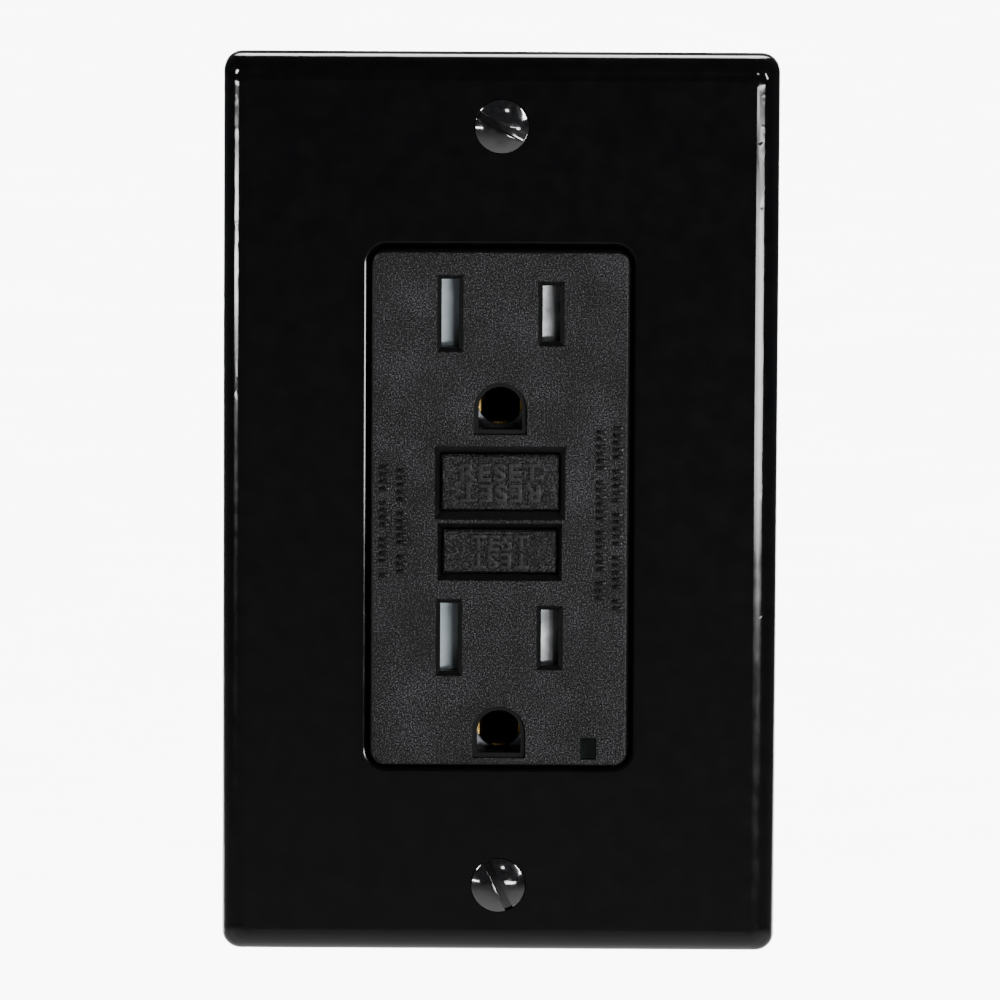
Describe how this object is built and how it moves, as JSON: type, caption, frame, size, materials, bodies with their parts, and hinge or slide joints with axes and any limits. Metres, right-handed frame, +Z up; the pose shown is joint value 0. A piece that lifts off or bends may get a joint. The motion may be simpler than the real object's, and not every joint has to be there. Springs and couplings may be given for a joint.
{
  "type": "ground-fault duplex receptacle",
  "caption": "Decorator-style duplex wall receptacle with ground-fault protection, shuttered slots, test and reset buttons, and a glossy black wall plate",
  "frame": {"origin": "middle of the receptacle on the wall surface, half way between the two box screws", "axes": "X to the right as seen from the room, Y into the wall, Z up"},
  "size_m": [0.0698, 0.0374, 0.1142],
  "materials": {
    "plate_black": "moulded, high gloss",
    "black_screw_paint": "gloss black enamel",
    "face_black": "moulded, fine spark-eroded grain",
    "button_black": "moulded, satin",
    "lens": "clear smoke, polished",
    "led_resin": "diffused resin",
    "spring_steel": "drawn wire, bright",
    "bronze": "rolled phosphor bronze",
    "inner_black": "moulded",
    "shutter_grey": "moulded, smooth",
    "stainless": "rolled, wiped bright",
    "zinc_steel": "bright zinc plate",
    "brass": "rolled brass",
    "green_screw": "green dyed plate",
    "fibre": "red vulcanised fibre",
    "inner_grey": "moulded",
    "silver": "silver alloy faces",
    "back_black": "moulded, satin",
    "copper": "bare copper",
    "nylon_white": "natural nylon",
    "enamel_copper": "enamelled copper wire",
    "core_tape": "yellow polyester tape",
    "board_green": "solder mask over glass laminate",
    "varistor_blue": "epoxy dipped",
    "epoxy_black": "moulded epoxy",
    "resistor_tan": "lacquered",
    "nickel_screw": "nickel plate"
  },
  "bodies": {
    "receptacle": {"wall_plate": "plate_black", "plate_screws": "black_screw_paint", "front_cover": "face_black", "light_pipe": "lens", "status_led": "led_resin", "reset_spring": "spring_steel", "upper_shutter_spring": "spring_steel", "lower_shutter_spring": "spring_steel", "plunger_spring": "spring_steel", "test_leaf_spring": "bronze", "shutter_trays": "inner_black", "mounting_strap": "zinc_steel", "ground_contacts": "brass", "contact_rivets": "brass", "box_screws": "zinc_steel", "screw_retainers": "fibre", "middle_housing": "inner_grey", "hot_face_contact": "brass", "neutral_face_contact": "brass", "fixed_contacts": "silver", "back_housing": "back_black", "assembly_screws": "zinc_steel", "line_conductors": "copper", "solenoid_bobbin": "nylon_white", "solenoid_coil": "enamel_copper", "solenoid_frame": "zinc_steel", "transformer_housing": "nylon_white", "transformer_cores": "core_tape", "circuit_board": "board_green", "surge_varistor": "varistor_blue", "trip_scr": "epoxy_black", "control_ic": "epoxy_black", "resistors": "resistor_tan", "line_hot_terminal": "brass", "line_neutral_terminal": "brass", "load_hot_terminal": "brass", "load_neutral_terminal": "brass"},
    "reset_key": {"reset_button": "button_black", "reset_pin": "spring_steel"},
    "test_key": {"test_button": "button_black"},
    "upper_slide": {"upper_shutter": "shutter_grey", "upper_shutter_facing": "stainless"},
    "lower_slide": {"lower_shutter": "shutter_grey", "lower_shutter_facing": "stainless"},
    "carrier": {"contact_carrier": "nylon_white", "latch_spring": "spring_steel"},
    "latch": {"latch_plate": "zinc_steel"},
    "arms": {"hot_contact_arm": "bronze", "neutral_contact_arm": "bronze", "arm_contacts": "silver"},
    "plunger": {"solenoid_plunger": "zinc_steel"},
    "ground_terminal": {"ground_screw": "green_screw"},
    "line_hot_clamping": {"line_hot_clamp": "zinc_steel"},
    "line_hot_turning": {"line_hot_screw": "brass"},
    "line_neutral_clamping": {"line_neutral_clamp": "zinc_steel"},
    "line_neutral_turning": {"line_neutral_screw": "nickel_screw"},
    "load_hot_clamping": {"load_hot_clamp": "zinc_steel"},
    "load_hot_turning": {"load_hot_screw": "brass"},
    "load_neutral_clamping": {"load_neutral_clamp": "zinc_steel"},
    "load_neutral_turning": {"load_neutral_screw": "nickel_screw"}
  },
  "joints": [
    {"name": "reset_press", "type": "slide", "parent": "receptacle", "child": "reset_key", "axis": [0, 1, 0], "range_m": [0, 0.002], "stiffness_N_per_m": 500, "springref_m": -0.002, "deforming": ["reset_spring"]},
    {"name": "test_press", "type": "slide", "parent": "receptacle", "child": "test_key", "axis": [0, 1, 0], "range_m": [0, 0.0012], "stiffness_N_per_m": 700, "springref_m": -0.001, "deforming": ["test_leaf_spring"]},
    {"name": "carrier_drop", "type": "slide", "parent": "receptacle", "child": "carrier", "axis": [0, 1, 0], "range_m": [0, 0.0016], "stiffness_N_per_m": 400, "springref_m": -0.001},
    {"name": "arms_flex", "type": "hinge", "parent": "receptacle", "child": "arms", "pos_m": [0, 0.0136, -0.0122], "axis": [-1, 0, 0], "range_deg": [0, 5.4]},
    {"name": "latch_release", "type": "slide", "parent": "carrier", "child": "latch", "axis": [0, 0, -1], "range_m": [0, 0.00125], "deforming": ["latch_spring"]},
    {"name": "plunger_stroke", "type": "slide", "parent": "receptacle", "child": "plunger", "axis": [0, 0, -1], "range_m": [0, 0.00145], "deforming": ["plunger_spring"]},
    {"name": "ground_screw_travel", "type": "slide", "parent": "receptacle", "child": "ground_terminal", "axis": [-1, 0, 0], "range_m": [0, 0.0018]},
    {"name": "upper_shutter_slide", "type": "slide", "parent": "receptacle", "child": "upper_slide", "axis": [-1, 0, 0], "range_m": [0, 0.003], "stiffness_N_per_m": 60, "springref_m": -0.002, "deforming": ["upper_shutter_spring"]},
    {"name": "lower_shutter_slide", "type": "slide", "parent": "receptacle", "child": "lower_slide", "axis": [-1, 0, 0], "range_m": [0, 0.003], "stiffness_N_per_m": 60, "springref_m": -0.002, "deforming": ["lower_shutter_spring"]},
    {"name": "line_hot_clamp_travel", "type": "slide", "parent": "receptacle", "child": "line_hot_clamping", "axis": [-1, 0, 0], "range_m": [0, 0.00238]},
    {"name": "line_hot_screw_turn", "type": "hinge", "parent": "line_hot_clamping", "child": "line_hot_turning", "pos_m": [0.0195, 0.0166, -0.0211], "axis": [-1, 0, 0], "range_deg": [0, 1080]},
    {"name": "line_neutral_clamp_travel", "type": "slide", "parent": "receptacle", "child": "line_neutral_clamping", "axis": [1, 0, 0], "range_m": [0, 0.00238]},
    {"name": "line_neutral_screw_turn", "type": "hinge", "parent": "line_neutral_clamping", "child": "line_neutral_turning", "pos_m": [-0.0195, 0.0166, -0.0211], "axis": [1, 0, 0], "range_deg": [0, 1080]},
    {"name": "load_hot_clamp_travel", "type": "slide", "parent": "receptacle", "child": "load_hot_clamping", "axis": [-1, 0, 0], "range_m": [0, 0.00238]},
    {"name": "load_hot_screw_turn", "type": "hinge", "parent": "load_hot_clamping", "child": "load_hot_turning", "pos_m": [0.0195, 0.0166, 0.0211], "axis": [-1, 0, 0], "range_deg": [0, 1080]},
    {"name": "load_neutral_clamp_travel", "type": "slide", "parent": "receptacle", "child": "load_neutral_clamping", "axis": [1, 0, 0], "range_m": [0, 0.00238]},
    {"name": "load_neutral_screw_turn", "type": "hinge", "parent": "load_neutral_clamping", "child": "load_neutral_turning", "pos_m": [-0.0195, 0.0166, 0.0211], "axis": [1, 0, 0], "range_deg": [0, 1080]}
  ],
  "couplings": [
    {"joint": "arms_flex", "follows": "carrier_drop", "rad_per_m": 58.3},
    {"joint": "latch_release", "follows": "carrier_drop", "ratio": 0.75},
    {"joint": "plunger_stroke", "follows": "carrier_drop", "ratio": 0.875},
    {"joint": "line_hot_screw_turn", "follows": "line_hot_clamp_travel", "rad_per_m": 7915.8},
    {"joint": "line_neutral_screw_turn", "follows": "line_neutral_clamp_travel", "rad_per_m": 7915.8},
    {"joint": "load_hot_screw_turn", "follows": "load_hot_clamp_travel", "rad_per_m": 7915.8},
    {"joint": "load_neutral_screw_turn", "follows": "load_neutral_clamp_travel", "rad_per_m": 7915.8}
  ]
}
